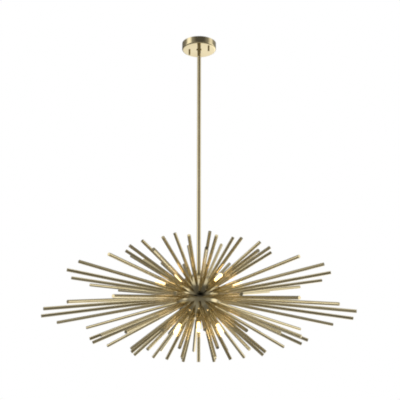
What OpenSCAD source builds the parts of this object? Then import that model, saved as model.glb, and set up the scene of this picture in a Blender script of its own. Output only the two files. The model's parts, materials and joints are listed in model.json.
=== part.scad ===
// Starburst chandelier: a polished ball on a ceiling stem, with seven rings of slim rods
// and two rings of small capsule lamps. Millimetres, +Z up, origin in the ceiling plane,
// at the centre of the canopy. Azimuths run anticlockwise from +X, seen from above.

/* [Ball and stem] */
// Radius of the hub ball
ball_r = 90; // [80:1:100]
// Wall of the ball's two shells
ball_wall = 1.5; // [1:0.25:2.5]
// Height of the hub centre below the ceiling
drop = 1082; // [800:1:1400]
// Outside diameter of the stem
stem_d = 15.9; // [15:0.1:16.5]
// Number of equal stem sections
stem_count = 3; // [3:1:3]

/* [Rods] */
// Outside diameter of a rod
rod_d = 12.7; // [10:0.1:13]
// Wall of a rod
rod_wall = 1; // [0.8:0.1:1.5]
// Crown ring: elevation, azimuth of its first rod, number of rods, radius to the tips
crown_ring = [59, 48, 6, 270]; // [0:1:700]
// Upper ring
upper_ring = [32, 3, 18, 340]; // [0:1:700]
// Long ring just above the equator
long_ring = [9.4, 13, 18, 520]; // [0:0.1:700]
// Longest ring, just below the equator
longest_ring = [-7.5, 3, 18, 610]; // [-90:0.5:700]
// Lower ring
lower_ring = [-22.5, 13, 18, 451]; // [-90:0.5:700]
// Under ring
under_ring = [-40, 15, 12, 340]; // [-90:1:700]
// Base ring
base_ring = [-63, 0, 6, 270]; // [-90:1:700]
// Radius to the tip of the single rod at the bottom
pole_tip = 250; // [200:1:300]

/* [Lamps] */
// Upper lamps: elevation, azimuth of the first, number of lamps
upper_lamps = [20, 0, 6]; // [0:1:60]
// Lower lamps
lower_lamps = [-54, 30, 6]; // [-90:1:60]
// Outside diameter of a lamp cup
cup_d = 20; // [19:0.5:24]
// Length of a lamp cup
cup_length = 50; // [44:1:54]
// Diameter of a glass capsule
bulb_d = 13.5; // [12:0.5:14]
// Radius from the hub centre to a bulb's tip
bulb_tip = 183; // [178:1:190]

/* [Canopy] */
// Outside diameter of the canopy
canopy_d = 144; // [130:1:160]
// Height of the canopy
canopy_h = 30; // [26:1:40]
// Wall of the canopy
canopy_wall = 1.2; // [1:0.1:2]
// Spacing of the two canopy studs
stud_spacing = 88.9; // [80:0.1:100]
// Azimuth of the canopy strap and its studs
strap_azimuth = -24; // [-60:1:-20]
// Middle spacing of the two slots for the ceiling box screws
box_spacing = 79.4; // [70:0.1:85]

/* [Hidden] */
$fn = 48;
// Clearances, screw threads and small fasteners
fit_gap = 0.05;
plate_gap = 0.1;
thread_r = 5;
thread_bore_r = 3.6;
stud_r = 2.5;
small_r = 2;
small_nut_flats = 7;
small_nut_height = 3.2;
hex_flats = 16;
hex_height = 4;
// Ceiling straps
strap_t = 2;
box_strap_length = box_spacing + 27;
box_strap_width = 16;
slot_r = 2.3;
slot_half = 5.2;
canopy_strap_length = stud_spacing + 13;
canopy_strap_width = 14;
rivet_r = 3;
earth_offset = 24;
// Canopy
canopy_r = canopy_d / 2;
canopy_edge_r = 6;
stud_end = 8;
cap_r = 4;
cap_length = 12;
washer_r = 20;
washer_t = 2.5;
connector_r = 6;
connector_y = 44;
connector_step = 20;
// Swivel
pivot_z = -canopy_h - 14;
fork_plate = 4;
fork_r = 11.4;
fork_shank = 16;
ear_gap = 7.4;
ear_t = 4;
ear_width = 14;
ear_drop = 6;
fork_top = -canopy_h - plate_gap;
ear_height = fork_top - fork_plate - pivot_z + ear_drop + 1;
screw_inner = 4.2;
screw_head_r = 3.8;
screw_head_h = 1.6;
tongue_r = 7;
tongue_top = pivot_z + 5;
tongue_foot = 4;
// Stem
hub_z = -drop;
stem_r = stem_d / 2;
stem_wall = 1.2;
stem_end_bore = 14;
collar_h = 14;
collar_socket = 4;
stem_top_z = pivot_z - 17;
stem_end_z = hub_z + ball_r + collar_h - collar_socket;
section_length = (stem_top_z - stem_end_z) / stem_count;
nipple_length = 24;
cable_r = 3;
cable_end = 50;
// Rods
rod_r = rod_d / 2;
rod_cap = 3;
rod_edge = 0.6;
insert_length = 12;
stud_inside = 14;
nut_height = 4;
nut_flats = 8;
pole_foot_r = 8;
pole_foot_h = 11;
// Lamps
lamp_count = upper_lamps[2] + lower_lamps[2];
cup_r = cup_d / 2;
cup_wall = 1;
cup_floor = 2;
holder_r = 8;
holder_foot = ball_r + 4;
holder_top = ball_r + 34;
pin_offset = 4.5;
pin_r = 0.9;
pin_length = 10;
neck_length = 8;
// The hub's nuts stay clear of the curved wall outside them
hub_nut_z = ball_r - ball_wall - hex_height - 1.2;
RINGS = [crown_ring, upper_ring, long_ring, longest_ring, lower_ring, under_ring, base_ring];

function lamp_name(kind, i) = str(kind, "_", i + 1);
function lamp_angles(i) = i < upper_lamps[2]
    ? [upper_lamps[0], upper_lamps[1] + i * 360 / upper_lamps[2]]
    : [lower_lamps[0], lower_lamps[1] + (i - upper_lamps[2]) * 360 / lower_lamps[2]];

// Places a piece that is drawn along +Z so that it points out of the hub centre.
module radial(elevation, azimuth, distance = 0)
    translate([0, 0, hub_z]) rotate([0, 90 - elevation, azimuth]) translate([0, 0, distance]) children();

module around_ring(ring, distance = 0)
    for (i = [0 : ring[2] - 1]) radial(ring[0], ring[1] + i * 360 / ring[2], distance) children();

module at_lamp(i, distance = 0)
    radial(lamp_angles(i)[0], lamp_angles(i)[1], distance) children();

module at_studs()
    for (side = [-1, 1]) rotate([0, 0, strap_azimuth]) translate([side * stud_spacing / 2, 0, 0]) children();

module tube(outer_r, inner_r, length)
    difference() {
        cylinder(h = length, r = outer_r);
        translate([0, 0, -1]) cylinder(h = length + 2, r = inner_r);
    }

module hex_nut(flats, bore_r, height)
    difference() {
        cylinder(h = height, r = flats / sqrt(3), $fn = 6);
        translate([0, 0, -1]) cylinder(h = height + 2, r = bore_r);
    }

// ---- Ceiling side ----

module strap(length, width)
    difference() {
        intersection() {
            translate([-length / 2, -width / 2, 0]) cube([length, width, strap_t]);
            cylinder(h = strap_t, r = length / 2);
        }
        translate([0, 0, -1]) cylinder(h = strap_t + 2, r = rivet_r);
    }

// A slot for a ceiling box screw, along X.
module box_slot() {
    for (end = [-slot_half, slot_half]) translate([end, 0, -1]) cylinder(h = strap_t + 2, r = slot_r);
    translate([-slot_half, -slot_r, -1]) cube([2 * slot_half, 2 * slot_r, strap_t + 2]);
}

module box_strap()
    color("gainsboro") translate([0, 0, -strap_t]) difference() {
        strap(box_strap_length, box_strap_width);
        for (side = [-1, 1]) translate([side * box_spacing / 2, 0, 0]) box_slot();
    }

module canopy_strap()
    color("gainsboro") translate([0, 0, -2 * strap_t]) rotate([0, 0, strap_azimuth]) difference() {
        strap(canopy_strap_length, canopy_strap_width);
        for (x = [-stud_spacing / 2, earth_offset, stud_spacing / 2])
            translate([x, 0, -1]) cylinder(h = strap_t + 2, r = small_r);
    }

module strap_rivet()
    color("silver") {
        translate([0, 0, -2 * strap_t]) cylinder(h = 2 * strap_t, r = rivet_r);
        translate([0, 0, -2 * strap_t - 1.5]) cylinder(h = 1.5, r = rivet_r + 2);
    }

module earth_screw()
    color("green") rotate([0, 0, strap_azimuth]) translate([earth_offset, 0, -2 * strap_t]) difference() {
        union() {
            cylinder(h = strap_t - plate_gap, r = small_r);
            translate([0, 0, -2.4]) cylinder(h = 2.4, r = 2 * small_r);
        }
        translate([-5, -0.5, -3]) cube([10, 1, 1.6]);
    }

module canopy_studs()
    color("silver") at_studs() translate([0, 0, -canopy_h - stud_end])
        cylinder(h = canopy_h + stud_end - strap_t, r = small_r);

module stud_locknuts()
    color("silver") at_studs() translate([0, 0, -2 * strap_t - small_nut_height])
        hex_nut(small_nut_flats, small_r, small_nut_height);

module canopy_section(out_r, low, edge_r, top)
    polygon(concat(
        [[0, top], [out_r, top]],
        [for (a = [0 : 15 : 90]) [out_r - edge_r + edge_r * cos(a), low + edge_r - edge_r * sin(a)]],
        [[0, low]]));

module canopy_shell()
    color("goldenrod") difference() {
        rotate_extrude($fn = 96) canopy_section(canopy_r, -canopy_h, canopy_edge_r, 0);
        rotate_extrude($fn = 96)
            canopy_section(canopy_r - canopy_wall, canopy_wall - canopy_h, canopy_edge_r - canopy_wall, 1);
        translate([0, 0, -canopy_h - 1]) cylinder(h = 5, r = thread_r + plate_gap);
        at_studs() translate([0, 0, -canopy_h - 1]) cylinder(h = 5, r = small_r + 0.3);
    }

module canopy_cap_nuts()
    color("goldenrod") at_studs() translate([0, 0, -canopy_h]) rotate([180, 0, 0]) difference() {
        union() {
            cylinder(h = cap_length, r = cap_r);
            translate([0, 0, cap_length]) cylinder(h = 2, r1 = cap_r, r2 = cap_r - 1.4);
        }
        translate([0, 0, -1]) cylinder(h = stud_end + 2.5, r = small_r);
    }

module canopy_washer()
    color("silver") translate([0, 0, canopy_wall - canopy_h]) tube(washer_r, thread_r + plate_gap, washer_t);

module wire_connectors()
    color("orange") for (side = [-1 : 1])
        translate([connector_step * side, connector_y - 4 * abs(side), canopy_wall - canopy_h + 1]) {
            cylinder(h = 10, r = connector_r);
            translate([0, 0, 10]) cylinder(h = 8, r1 = connector_r, r2 = connector_r - 2);
        }

// ---- Swivel under the canopy ----

module swivel_ears()
    intersection() {
        translate([0, 0, pivot_z - ear_drop]) cylinder(h = ear_height, r = fork_r);
        for (y = [ear_gap, -ear_gap - ear_t])
            translate([-ear_width / 2, y, pivot_z - ear_drop]) cube([ear_width, ear_t, ear_height]);
    }

module swivel_fork()
    color("goldenrod") difference() {
        union() {
            translate([0, 0, fork_top - fork_plate]) cylinder(h = fork_shank + fork_plate, r = thread_r);
            translate([0, 0, fork_top - fork_plate]) cylinder(h = fork_plate, r = fork_r);
            swivel_ears();
        }
        translate([0, 0, fork_top - fork_plate - 1]) cylinder(h = 30, r = thread_bore_r);
        translate([0, 0, pivot_z]) rotate([90, 0, 0]) cylinder(h = 30, r = stud_r, center = true);
    }

module swivel_locknut()
    color("silver") translate([0, 0, canopy_wall - canopy_h + washer_t + plate_gap])
        hex_nut(hex_flats, thread_r, hex_height);

module swivel_screws()
    color("goldenrod") for (side = [0, 180])
        translate([0, 0, pivot_z]) rotate([90, 0, side]) {
            translate([0, 0, screw_inner]) cylinder(h = fork_r - screw_inner, r = stud_r);
            translate([0, 0, fork_r]) cylinder(h = screw_head_h, r = screw_head_r);
        }

module swivel_tongue()
    color("goldenrod") difference() {
        union() {
            translate([0, 0, stem_top_z]) cylinder(h = tongue_top - stem_top_z - 2, r = tongue_r);
            translate([0, 0, tongue_top - 2]) cylinder(h = 2, r1 = tongue_r, r2 = tongue_r - 1.4);
            translate([0, 0, stem_top_z]) cylinder(h = tongue_foot, r = stem_r);
            translate([0, 0, stem_top_z - nipple_length / 2]) cylinder(h = nipple_length / 2, r = thread_r);
        }
        translate([0, 0, stem_top_z - nipple_length / 2 - 1]) cylinder(h = 60, r = thread_bore_r);
        translate([0, 0, pivot_z]) rotate([90, 0, 0])
            cylinder(h = 30, r = stud_r + fit_gap, center = true);
    }

// ---- Stem and hub ----

// A tube with a tapped end piece pressed into each end.
module stem_section(index)
    color("goldenrod") translate([0, 0, stem_top_z - (index + 1) * section_length]) difference() {
        tube(stem_r, thread_r, section_length);
        translate([0, 0, stem_end_bore])
            cylinder(h = section_length - 2 * stem_end_bore, r = stem_r - stem_wall);
    }

module stem_top() stem_section(0);
module stem_middle() stem_section(1);
module stem_bottom() stem_section(2);

module stem_nipples()
    color("silver") for (joint = [1, 2])
        translate([0, 0, stem_top_z - joint * section_length - nipple_length / 2])
            tube(thread_r, thread_bore_r, nipple_length);

module stem_cable()
    color("ivory") translate([0, 0, hub_z + cable_end])
        cylinder(h = tongue_top - 1 - hub_z - cable_end, r = cable_r);

module hub_collar()
    color("goldenrod") translate([0, 0, hub_z + ball_r]) difference() {
        union() {
            cylinder(h = 3, r = stem_r + 6);
            cylinder(h = collar_h - 1, r = stem_r + 3);
            translate([0, 0, collar_h - 1]) cylinder(h = 1, r1 = stem_r + 3, r2 = stem_r + 2);
        }
        translate([0, 0, -1]) cylinder(h = 30, r = thread_r);
        translate([0, 0, collar_h - collar_socket]) cylinder(h = 10, r = stem_r);
    }

// The central tube: threaded all along, with a side hole that lets the wires out in the ball.
module hub_tube()
    color("silver") translate([0, 0, hub_z - ball_r - 10]) difference() {
        tube(thread_r, thread_bore_r, 2 * ball_r + collar_h + 16);
        translate([0, 0, ball_r + 45]) rotate([90, 0, 0]) cylinder(h = 20, r = cable_r, center = true);
    }

module hub_locknuts()
    color("silver") for (z = [hub_nut_z, -hub_nut_z - hex_height])
        translate([0, 0, hub_z + z]) hex_nut(hex_flats, thread_r, hex_height);

module hub_holes()
    union() {
        for (ring = RINGS)
            around_ring(ring, ball_r - 8) cylinder(h = 16, r = stud_r + fit_gap);
        for (i = [0 : lamp_count - 1])
            at_lamp(i, ball_r - 8) cylinder(h = 16, r = thread_r + fit_gap);
        translate([0, 0, hub_z - ball_r - 5]) cylinder(h = 2 * ball_r + 10, r = thread_r + fit_gap);
    }

module half_space(side)
    translate([-ball_r - 5, -ball_r - 5, side > 0 ? 0 : -ball_r - 5])
        cube([2 * ball_r + 10, 2 * ball_r + 10, ball_r + 5]);

module hub_shell(side)
    color("goldenrod") difference() {
        translate([0, 0, hub_z]) intersection() {
            difference() {
                sphere(r = ball_r, $fn = 96);
                sphere(r = ball_r - ball_wall, $fn = 96);
            }
            half_space(side);
        }
        hub_holes();
    }

module hub_shell_upper() hub_shell(1);
module hub_shell_lower() hub_shell(-1);

// ---- Rods ----

// A rod is a tube that is closed at its tip and open at the ball.
module rod(length)
    rotate_extrude() polygon([
        [rod_r - rod_wall, 0], [rod_r, 0], [rod_r, length - rod_edge], [rod_r - rod_edge, length],
        [0, length], [0, length - rod_cap], [rod_r - rod_wall, length - rod_cap]]);

module rod_ring(ring)
    color("goldenrod") around_ring(ring, ball_r) rod(ring[3] - ball_r);

module rods_crown() rod_ring(crown_ring);
module rods_upper() rod_ring(upper_ring);
module rods_long() rod_ring(long_ring);
module rods_longest() rod_ring(longest_ring);
module rods_lower() rod_ring(lower_ring);
module rods_under() rod_ring(under_ring);
module rods_base() rod_ring(base_ring);

// The bottom rod screws on to the hub tube and clamps the lower shell.
module rod_pole()
    color("goldenrod") radial(-90, 0, ball_r) rotate_extrude() polygon([
        [thread_r, 0], [pole_foot_r, 0], [pole_foot_r, pole_foot_h], [rod_r, pole_foot_h + 2],
        [rod_r, pole_tip - ball_r - rod_edge], [rod_r - rod_edge, pole_tip - ball_r],
        [0, pole_tip - ball_r], [0, insert_length], [thread_r, insert_length]]);

// A stud in each rod: a thick end pressed into the tube, and a thread through the ball's wall.
module rod_studs()
    color("silver") for (ring = RINGS) around_ring(ring, ball_r) {
        translate([0, 0, -stud_inside]) cylinder(h = stud_inside, r = stud_r);
        cylinder(h = insert_length, r = rod_r - rod_wall);
    }

module rod_nuts()
    color("silver") for (ring = RINGS)
        around_ring(ring, ball_r - ball_wall - nut_height - 0.2) hex_nut(nut_flats, stud_r, nut_height);

// ---- Lamps ----

module lamp_nipples()
    color("silver") for (i = [0 : lamp_count - 1]) at_lamp(i, ball_r - ball_wall - 5.4) difference() {
        union() {
            cylinder(h = 5, r = 14 / sqrt(3), $fn = 6);
            cylinder(h = 14, r = thread_r);
        }
        translate([0, 0, -1]) cylinder(h = 20, r = thread_bore_r);
    }

module lamp_cup(i)
    color("goldenrod") at_lamp(i, ball_r) difference() {
        cylinder(h = cup_length, r = cup_r);
        translate([0, 0, cup_floor]) cylinder(h = cup_length, r = cup_r - cup_wall);
        translate([0, 0, -1]) cylinder(h = cup_floor + 2, r = thread_r + fit_gap);
    }

module lamp_holders()
    color("ivory") for (i = [0 : lamp_count - 1]) at_lamp(i, holder_foot) difference() {
        cylinder(h = holder_top - holder_foot, r = holder_r);
        translate([0, 0, -1]) cylinder(h = 6, r = thread_r);
        for (side = [-1, 1])
            translate([side * pin_offset, 0, 14]) cylinder(h = 20, r = pin_r + 0.3);
    }

// A capsule lamp: two pins, a narrower neck and a glass body with a round end.
module bulb(i)
    color("white") at_lamp(i, holder_top) union() {
        for (side = [-1, 1])
            translate([side * pin_offset, 0, -pin_length]) cylinder(h = pin_length + 1, r = pin_r);
        translate([0, 0, 0.5]) cylinder(h = neck_length, r = bulb_d / 2 - 0.8);
        translate([0, 0, neck_length])
            cylinder(h = bulb_tip - holder_top - bulb_d / 2 - neck_length, r = bulb_d / 2);
        translate([0, 0, bulb_tip - holder_top - bulb_d / 2]) sphere(r = bulb_d / 2);
    }

box_strap();
canopy_strap();
strap_rivet();
earth_screw();
canopy_studs();
stud_locknuts();
canopy_shell();
canopy_cap_nuts();
canopy_washer();
wire_connectors();
swivel_fork();
swivel_locknut();
swivel_screws();
swivel_tongue();
stem_top();
stem_middle();
stem_bottom();
stem_nipples();
stem_cable();
hub_collar();
hub_tube();
hub_locknuts();
hub_shell_upper();
hub_shell_lower();
rods_crown();
rods_upper();
rods_long();
rods_longest();
rods_lower();
rods_under();
rods_base();
rod_pole();
rod_studs();
rod_nuts();
lamp_nipples();
lamp_holders();
for (i = [0 : lamp_count - 1]) {
    lamp_cup(i);
    bulb(i);
}
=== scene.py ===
"""The looks of a starburst chandelier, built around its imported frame. Lengths are in metres."""

import json
import math

import bmesh
import bpy
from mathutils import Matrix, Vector


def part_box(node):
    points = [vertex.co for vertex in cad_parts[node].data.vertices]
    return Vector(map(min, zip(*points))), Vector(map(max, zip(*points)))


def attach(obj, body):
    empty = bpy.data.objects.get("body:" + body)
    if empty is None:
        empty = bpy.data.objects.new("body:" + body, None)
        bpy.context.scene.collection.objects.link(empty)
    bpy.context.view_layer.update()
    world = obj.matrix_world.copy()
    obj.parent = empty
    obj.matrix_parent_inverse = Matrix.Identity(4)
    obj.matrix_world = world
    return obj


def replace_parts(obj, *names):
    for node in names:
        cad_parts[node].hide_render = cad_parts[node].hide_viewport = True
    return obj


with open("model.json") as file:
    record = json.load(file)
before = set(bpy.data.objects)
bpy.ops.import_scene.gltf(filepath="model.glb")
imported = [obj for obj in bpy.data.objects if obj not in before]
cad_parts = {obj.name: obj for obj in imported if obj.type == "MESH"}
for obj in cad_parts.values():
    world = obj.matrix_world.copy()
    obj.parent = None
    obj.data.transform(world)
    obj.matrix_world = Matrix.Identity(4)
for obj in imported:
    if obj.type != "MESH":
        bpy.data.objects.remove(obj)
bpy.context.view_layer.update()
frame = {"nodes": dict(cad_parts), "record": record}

# ---- Places, worked out from the frame ----

HUB = Vector((0, 0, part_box("hub_shell_upper")[0].z))  # the ball's centre
FLOOR_Z = HUB.z - 2.6
FLOOR_HALF = 14.0


# ---- Node helpers ----

def new_material(name):
    """A material with one Principled shader: returns it, its node tree and the shader."""
    material = bpy.data.materials.new(name)
    material.use_nodes = True
    tree = material.node_tree
    return material, tree, tree.nodes["Principled BSDF"]


def object_point(tree):
    """The socket that gives each surface point's own place on the object."""
    return tree.nodes.new("ShaderNodeTexCoord").outputs["Object"]


def noise(tree, point, scale, detail=3.0, roughness=0.5):
    """A noise pattern's value, with scale in cycles a metre."""
    node = tree.nodes.new("ShaderNodeTexNoise")
    node.inputs["Scale"].default_value = scale
    node.inputs["Detail"].default_value = detail
    node.inputs["Roughness"].default_value = roughness
    tree.links.new(point, node.inputs["Vector"])
    return node.outputs["Fac"]


def cells(tree, point, scale):
    """A random value for each cell of a cell pattern, with scale in cells a metre."""
    node = tree.nodes.new("ShaderNodeTexVoronoi")
    node.inputs["Scale"].default_value = scale
    tree.links.new(point, node.inputs["Vector"])
    grey = tree.nodes.new("ShaderNodeSeparateColor")
    tree.links.new(node.outputs["Color"], grey.inputs["Color"])
    return grey.outputs["Red"]


def spread(tree, value, low, high, from_low=0.3, from_high=0.7):
    """Maps a pattern's value on to the range from low to high."""
    node = tree.nodes.new("ShaderNodeMapRange")
    node.inputs["From Min"].default_value = from_low
    node.inputs["From Max"].default_value = from_high
    node.inputs["To Min"].default_value = low
    node.inputs["To Max"].default_value = high
    tree.links.new(value, node.inputs["Value"])
    return node.outputs["Result"]


def tint(tree, value, colours):
    """A colour that runs through the given ones as value goes from 0.3 to 0.7."""
    ramp = tree.nodes.new("ShaderNodeValToRGB")
    stops = ramp.color_ramp.elements
    while len(stops) < len(colours):
        stops.new(0.5)
    for i, colour in enumerate(colours):
        stops[i].position = 0.3 + 0.4 * i / (len(colours) - 1)
        stops[i].color = (*colour, 1)
    tree.links.new(value, ramp.inputs["Fac"])
    return ramp.outputs["Color"]


def bump(tree, shader, height, depth):
    """Raises the surface by height times depth, in metres."""
    node = tree.nodes.new("ShaderNodeBump")
    node.inputs["Strength"].default_value = 1.0
    node.inputs["Distance"].default_value = depth
    tree.links.new(height, node.inputs["Height"])
    tree.links.new(node.outputs["Normal"], shader.inputs["Normal"])


# ---- Materials ----

def polished_brass():
    """Champagne brass, polished bright under clear lacquer, with faint haze and tarnish."""
    material, tree, shader = new_material("polished_brass")
    point = object_point(tree)
    tone = tint(tree, noise(tree, point, 14, 4),
                [(0.69, 0.575, 0.335), (0.73, 0.62, 0.37), (0.76, 0.655, 0.41)])
    tree.links.new(tone, shader.inputs["Base Color"])
    haze = noise(tree, point, 45, 5, 0.65)
    tree.links.new(spread(tree, haze, 0.05, 0.09), shader.inputs["Roughness"])
    shader.inputs["Metallic"].default_value = 1.0
    shader.inputs["Coat Weight"].default_value = 0.25
    shader.inputs["Coat Roughness"].default_value = 0.06
    return material


def zinc_steel():
    """Bright zinc plate over pressed or turned steel, with its fine grey bloom."""
    material, tree, shader = new_material("zinc_steel")
    point = object_point(tree)
    tone = tint(tree, noise(tree, point, 220, 5, 0.6),
                [(0.50, 0.52, 0.55), (0.66, 0.67, 0.69), (0.74, 0.75, 0.74)])
    tree.links.new(tone, shader.inputs["Base Color"])
    grains = cells(tree, point, 900)
    tree.links.new(spread(tree, grains, 0.24, 0.42, 0, 1), shader.inputs["Roughness"])
    bump(tree, shader, noise(tree, point, 1500, 3), 0.00003)
    shader.inputs["Metallic"].default_value = 1.0
    return material


def green_screw():
    """The green finish that marks the earth terminal."""
    material, tree, shader = new_material("green_screw")
    point = object_point(tree)
    tone = tint(tree, noise(tree, point, 500, 4),
                [(0.03, 0.24, 0.09), (0.05, 0.34, 0.13), (0.08, 0.42, 0.17)])
    tree.links.new(tone, shader.inputs["Base Color"])
    tree.links.new(spread(tree, noise(tree, point, 900), 0.25, 0.45), shader.inputs["Roughness"])
    bump(tree, shader, noise(tree, point, 1800, 3), 0.00002)
    shader.inputs["Metallic"].default_value = 0.7
    return material


def moulded_plastic(name, tones, low, high):
    """A plain moulded plastic with a faint satin texture."""
    material, tree, shader = new_material(name)
    point = object_point(tree)
    tree.links.new(tint(tree, noise(tree, point, 120, 4), tones), shader.inputs["Base Color"])
    tree.links.new(spread(tree, noise(tree, point, 700, 3), low, high), shader.inputs["Roughness"])
    bump(tree, shader, noise(tree, point, 2500, 2), 0.00003)
    shader.inputs["Specular IOR Level"].default_value = 0.5
    return material


def ceramic():
    """Glazed steatite: warm white with fine grey specks and a soft sheen."""
    material, tree, shader = new_material("ceramic")
    point = object_point(tree)
    tone = tint(tree, noise(tree, point, 1400, 2, 0.7),
                [(0.72, 0.69, 0.62), (0.86, 0.84, 0.79), (0.88, 0.86, 0.82)])
    tree.links.new(tone, shader.inputs["Base Color"])
    tree.links.new(spread(tree, noise(tree, point, 300, 3), 0.28, 0.45), shader.inputs["Roughness"])
    bump(tree, shader, noise(tree, point, 900, 3), 0.00004)
    shader.inputs["Coat Weight"].default_value = 0.4
    shader.inputs["Coat Roughness"].default_value = 0.15
    return material


def bulb_glass():
    """Frosted quartz, lit from inside, a little uneven where it is frosted."""
    material, tree, shader = new_material("bulb_glass")
    point = object_point(tree)
    frost = noise(tree, point, 400, 4, 0.6)
    tree.links.new(tint(tree, frost, [(0.93, 0.91, 0.86), (0.97, 0.96, 0.93)]),
                   shader.inputs["Base Color"])
    tree.links.new(spread(tree, frost, 0.22, 0.4), shader.inputs["Roughness"])
    bump(tree, shader, noise(tree, point, 2500, 2), 0.00002)
    shader.inputs["IOR"].default_value = 1.46
    shader.inputs["Transmission Weight"].default_value = 0.8
    shader.inputs["Emission Color"].default_value = (1.0, 0.7, 0.3, 1)
    shader.inputs["Emission Strength"].default_value = 1.3
    return material


MATERIALS = {
    "polished_brass": polished_brass(),
    "zinc_steel": zinc_steel(),
    "green_screw": green_screw(),
    "connector_plastic": moulded_plastic(
        "connector_plastic", [(0.62, 0.24, 0.03), (0.74, 0.31, 0.05), (0.80, 0.36, 0.07)], 0.35, 0.5),
    "cable_sheath": moulded_plastic(
        "cable_sheath", [(0.70, 0.67, 0.60), (0.78, 0.76, 0.70), (0.82, 0.80, 0.75)], 0.4, 0.55),
    "ceramic": ceramic(),
    "bulb_glass": bulb_glass(),
}


def dress_frame():
    """Gives every CAD node the material of its slot in the record."""
    for part in frame["record"]["subparts"]:
        node = frame["nodes"][part["node"]]
        for slot in node.material_slots:
            slot.material = MATERIALS[part["material_slot"]]


# ---- Capsule lamps ----

LAMP_COUNT = 12
SEAT = 0.124  # from the hub's centre to the foot of a lamp's glass
BELOW_SEAT = 0.002  # a point of the CAD lamp this far under the seat belongs to its pins
AROUND = 32
GLASS = [  # height above the seat, half width, half thickness, squareness
    (0.0000, 0.0046, 0.0017, 4.0), (0.0006, 0.0052, 0.0022, 4.0), (0.0030, 0.0053, 0.0023, 4.0),
    (0.0075, 0.0053, 0.0023, 3.6), (0.0100, 0.0055, 0.0030, 3.0), (0.0125, 0.0060, 0.0046, 2.4),
    (0.0150, 0.0065, 0.0060, 2.1), (0.0175, 0.00672, 0.00667, 2.0), (0.0300, 0.00675, 0.00675, 2.0),
    (0.0500, 0.00675, 0.00675, 2.0), (0.0525, 0.00655, 0.00655, 2.0), (0.0545, 0.0058, 0.0058, 2.0),
    (0.0560, 0.0046, 0.0046, 2.0), (0.0570, 0.0030, 0.0030, 2.0), (0.0574, 0.0018, 0.0018, 2.0),
    (0.0579, 0.0012, 0.0012, 2.0), (0.0586, 0.0009, 0.0009, 2.0), (0.0589, 0.0004, 0.0004, 2.0),
]
PIN_OFFSET, PIN_DEPTH, PIN_WIRE = 0.0045, 0.0072, 0.0004
PIN_LOOP = [  # height above the seat, and place across the loop's two wires
    (0.001, 0.0004), (-0.003, 0.0004), (-PIN_DEPTH + 0.001, 0.0004), (-PIN_DEPTH + 0.0006, 0.0),
    (-PIN_DEPTH + 0.001, -0.0004), (-0.003, -0.0004), (0.001, -0.0004),
]
LEAD_WIRE, LEAD_SIDES = 0.0002, 6
LEAD_FOOT = [(0.002, PIN_OFFSET), (0.008, 0.0035), (0.014, 0.0032)]  # height, distance from the axis
LEAD_OUT, LEAD_BEND = 0.0032, 0.003
COIL_LOW, COIL_HIGH, COIL_TURNS, COIL_STEPS = 0.020, 0.046, 26, 8
COIL_R, COIL_WIRE, COIL_SIDES = 0.0008, 0.00015, 5


def lamp_axes(node):
    """A lamp's own axes from its CAD solid: along it, across its two pins, and its thickness."""
    points = [vertex.co - HUB for vertex in node.data.vertices]
    along = max(points, key=lambda p: p.length).normalized()
    pins = [p - along * p.dot(along) for p in points if p.dot(along) < SEAT - BELOW_SEAT]
    across = max(pins, key=lambda p: p.length).normalized()
    return along, across, along.cross(across)


def sweep(mesh, points, radius, sides=8):
    """A round wire through the given points, closed at both ends."""
    rings = []
    for i, point in enumerate(points):
        course = (points[min(i + 1, len(points) - 1)] - points[max(i - 1, 0)]).normalized()
        if i == 0:
            first = course.orthogonal().normalized()
        else:
            first = (first - course * first.dot(course)).normalized()
        second = course.cross(first)
        angles = [math.tau * k / sides for k in range(sides)]
        rings.append([mesh.verts.new(point + (first * math.cos(a) + second * math.sin(a)) * radius)
                      for a in angles])
    bridge(mesh, rings)


def bridge(mesh, rings):
    """Joins neighbouring rings with faces and closes the two ends."""
    count = len(rings[0])
    for low, high in zip(rings, rings[1:]):
        for k in range(count):
            mesh.faces.new((low[k], low[(k + 1) % count], high[(k + 1) % count], high[k]))
    mesh.faces.new(rings[0][::-1])
    mesh.faces.new(rings[-1])


def add_piece(name, shape, slot):
    """Turns a bmesh into a smooth object that rides on the fixture."""
    bmesh.ops.recalc_face_normals(shape, faces=shape.faces)
    mesh = bpy.data.meshes.new(name)
    shape.to_mesh(mesh)
    shape.free()
    mesh.shade_smooth()
    mesh.materials.append(MATERIALS[slot])
    piece = bpy.data.objects.new(name, mesh)
    bpy.context.scene.collection.objects.link(piece)
    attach(piece, "fixture")
    return piece


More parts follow.
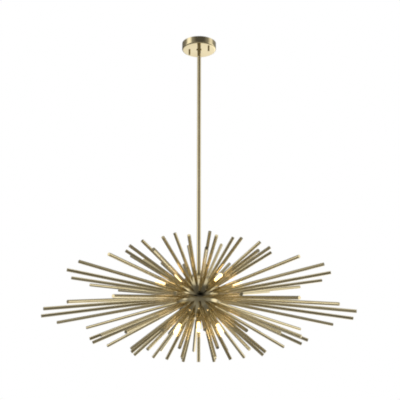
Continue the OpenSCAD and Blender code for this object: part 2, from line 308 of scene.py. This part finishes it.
def make_lamp(number):
    """One capsule lamp: a frosted envelope on its flat seal, and its pins, leads and filament."""
    along, across, thick = lamp_axes(frame["nodes"][f"bulb_{number}"])

    def place(height, a, b):
        return HUB + along * (SEAT + height) + across * a + thick * b

    glass = bmesh.new()
    rings = []
    for height, half_a, half_b, square in GLASS:
        ring = []
        for k in range(AROUND):
            c, s = math.cos(math.tau * k / AROUND), math.sin(math.tau * k / AROUND)
            a = math.copysign(abs(c) ** (2 / square), c) * half_a
            b = math.copysign(abs(s) ** (2 / square), s) * half_b
            ring.append(glass.verts.new(place(height, a, b)))
        rings.append(ring)
    bridge(glass, rings)
    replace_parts(add_piece(f"lamp_glass_{number}", glass, "bulb_glass"), f"bulb_{number}")

    wires = bmesh.new()
    for side in (-1, 1):
        sweep(wires, [place(height, side * PIN_OFFSET, b) for height, b in PIN_LOOP], PIN_WIRE)
        top = COIL_LOW if side < 0 else COIL_HIGH
        lead = LEAD_FOOT + [(top - LEAD_BEND, LEAD_OUT), (top, COIL_R)]
        sweep(wires, [place(height, side * a, 0) for height, a in lead], LEAD_WIRE, LEAD_SIDES)
    steps = COIL_TURNS * COIL_STEPS
    turns = [math.tau * i / COIL_STEPS for i in range(steps + 1)]
    coil = [place(COIL_LOW + (COIL_HIGH - COIL_LOW) * i / steps,
                  COIL_R * math.cos(turn), COIL_R * math.sin(turn)) for i, turn in enumerate(turns)]
    sweep(wires, coil, COIL_WIRE, COIL_SIDES)
    add_piece(f"lamp_wires_{number}", wires, "zinc_steel")


# ---- Floor, light and camera ----

STUDIO_LEVEL = 1.0  # what lights the matt surfaces and fills the picture's background
ROOM_LEVEL = 0.30
ROOM_PANELS = [  # azimuth, elevation, half width, soft edge, all in degrees, and the light added
    (-72, 10, 12, 18, 1.15),
    (88, 4, 14, 20, 1.05),
    (145, -28, 14, 20, 0.95),
    (180, -27, 12, 18, 0.70),
    (0, 85, 16, 25, 0.60),
    (8, 27, 16, 30, -0.20),
    (10, -15, 15, 25, -0.12),
    (-150, 20, 20, 25, -0.10),
    (-135, -18, 12, 20, -0.15),
    (75, -52, 15, 20, -0.15),
    (-70, -42, 14, 20, -0.15),
]
KEY_LIGHTS = [("key_left", -79), ("key_right", 67)]  # name and azimuth
KEY_ELEVATION, KEY_DISTANCE, KEY_BRIGHTNESS = 48, 3.8, 1.3
KEY_WIDTH, KEY_HEIGHT = 3.0, 1.0
SENSOR, LENS = 36, 72  # in millimetres
CAMERA_FROM_HUB = Vector((0.0055, -3.107, -0.470))
CAMERA_PITCH, CAMERA_ROLL = 15.5, -0.06  # upward from level, and about the line of sight, in degrees

def make_floor():
    """A wide pale floor, well below the object."""
    mesh = bpy.data.meshes.new("floor")
    corners = [(-1, -1), (1, -1), (1, 1), (-1, 1)]
    mesh.from_pydata([(x * FLOOR_HALF, y * FLOOR_HALF, FLOOR_Z) for x, y in corners], [], [(0, 1, 2, 3)])
    floor = bpy.data.objects.new("floor", mesh)
    bpy.context.scene.collection.objects.link(floor)
    material, tree, shader = new_material("floor")
    tone = tint(tree, noise(tree, object_point(tree), 0.6), [(0.83, 0.83, 0.82), (0.87, 0.87, 0.86)])
    tree.links.new(tone, shader.inputs["Base Color"])
    shader.inputs["Roughness"].default_value = 0.8
    mesh.materials.append(material)
    floor.visible_glossy = False


def toward(azimuth, elevation):
    """The unit direction from the hub. Azimuth 0 is behind the camera and 90 is +X, as in a view."""
    a, e = math.radians(azimuth), math.radians(elevation)
    return Vector((math.sin(a) * math.cos(e), -math.cos(a) * math.cos(e), math.sin(e)))


def make_world():
    """A white studio whose room, as the metal mirrors it, is grey with light and dark panels."""
    world = bpy.data.worlds.new("studio")
    bpy.context.scene.world = world
    world.use_nodes = True
    tree = world.node_tree
    tree.nodes.clear()
    direction = tree.nodes.new("ShaderNodeTexCoord").outputs["Generated"]
    level = None
    for azimuth, elevation, spread_deg, edge_deg, gain in ROOM_PANELS:
        nearness = tree.nodes.new("ShaderNodeVectorMath")
        nearness.operation = "DOT_PRODUCT"
        nearness.inputs[1].default_value = toward(azimuth, elevation)
        tree.links.new(direction, nearness.inputs[0])
        panel = tree.nodes.new("ShaderNodeMapRange")
        panel.interpolation_type = "SMOOTHSTEP"
        panel.inputs["From Min"].default_value = math.cos(math.radians(spread_deg + edge_deg))
        panel.inputs["From Max"].default_value = math.cos(math.radians(spread_deg))
        panel.inputs["To Min"].default_value = 0
        panel.inputs["To Max"].default_value = gain
        tree.links.new(nearness.outputs["Value"], panel.inputs["Value"])
        total = tree.nodes.new("ShaderNodeMath")
        tree.links.new(panel.outputs["Result"], total.inputs[0])
        total.inputs[1].default_value = ROOM_LEVEL
        if level:
            tree.links.new(level, total.inputs[1])
        level = total.outputs["Value"]
    mirrored = tree.nodes.new("ShaderNodeLightPath").outputs["Is Glossy Ray"]
    mix = tree.nodes.new("ShaderNodeMix")
    mix.data_type = "FLOAT"
    tree.links.new(mirrored, mix.inputs["Factor"])
    mix.inputs["A"].default_value = STUDIO_LEVEL
    tree.links.new(level, mix.inputs["B"])
    background = tree.nodes.new("ShaderNodeBackground")
    background.inputs["Color"].default_value = (1, 1, 1, 1)
    tree.links.new(mix.outputs["Result"], background.inputs["Strength"])
    output = tree.nodes.new("ShaderNodeOutputWorld")
    tree.links.new(background.outputs[0], output.inputs[0])
    world.cycles.sampling_method = "NONE"


def softbox(name, azimuth):
    """A soft light that faces the hub. The metal mirrors the room's panels in its place."""
    back = toward(azimuth, KEY_ELEVATION)
    data = bpy.data.lights.new(name, "AREA")
    data.shape = "RECTANGLE"
    data.size = KEY_WIDTH
    data.size_y = KEY_HEIGHT
    data.energy = KEY_BRIGHTNESS * math.pi * KEY_WIDTH * KEY_HEIGHT
    lamp = bpy.data.objects.new(name, data)
    bpy.context.scene.collection.objects.link(lamp)
    lamp.location = HUB + back * KEY_DISTANCE
    lamp.rotation_mode = "QUATERNION"
    lamp.rotation_quaternion = (-back).to_track_quat("-Z", "Y")
    lamp.visible_camera = False
    lamp.visible_glossy = False


def make_camera():
    """Stands in front of the hub on the -Y side, a little below it, and looks up."""
    data = bpy.data.cameras.new("camera")
    data.sensor_width = SENSOR
    data.lens = LENS
    data.clip_end = 100
    camera = bpy.data.objects.new("camera", data)
    bpy.context.scene.collection.objects.link(camera)
    camera.location = HUB + CAMERA_FROM_HUB
    camera.rotation_euler = (math.radians(90 + CAMERA_PITCH), math.radians(CAMERA_ROLL), 0)
    bpy.context.scene.camera = camera


dress_frame()
for number in range(1, LAMP_COUNT + 1):
    make_lamp(number)
make_floor()
make_world()
for key_name, key_azimuth in KEY_LIGHTS:
    softbox(key_name, key_azimuth)
make_camera()
bpy.context.scene.view_settings.view_transform = "Standard"
bpy.context.scene.cycles.filter_width = 1.9
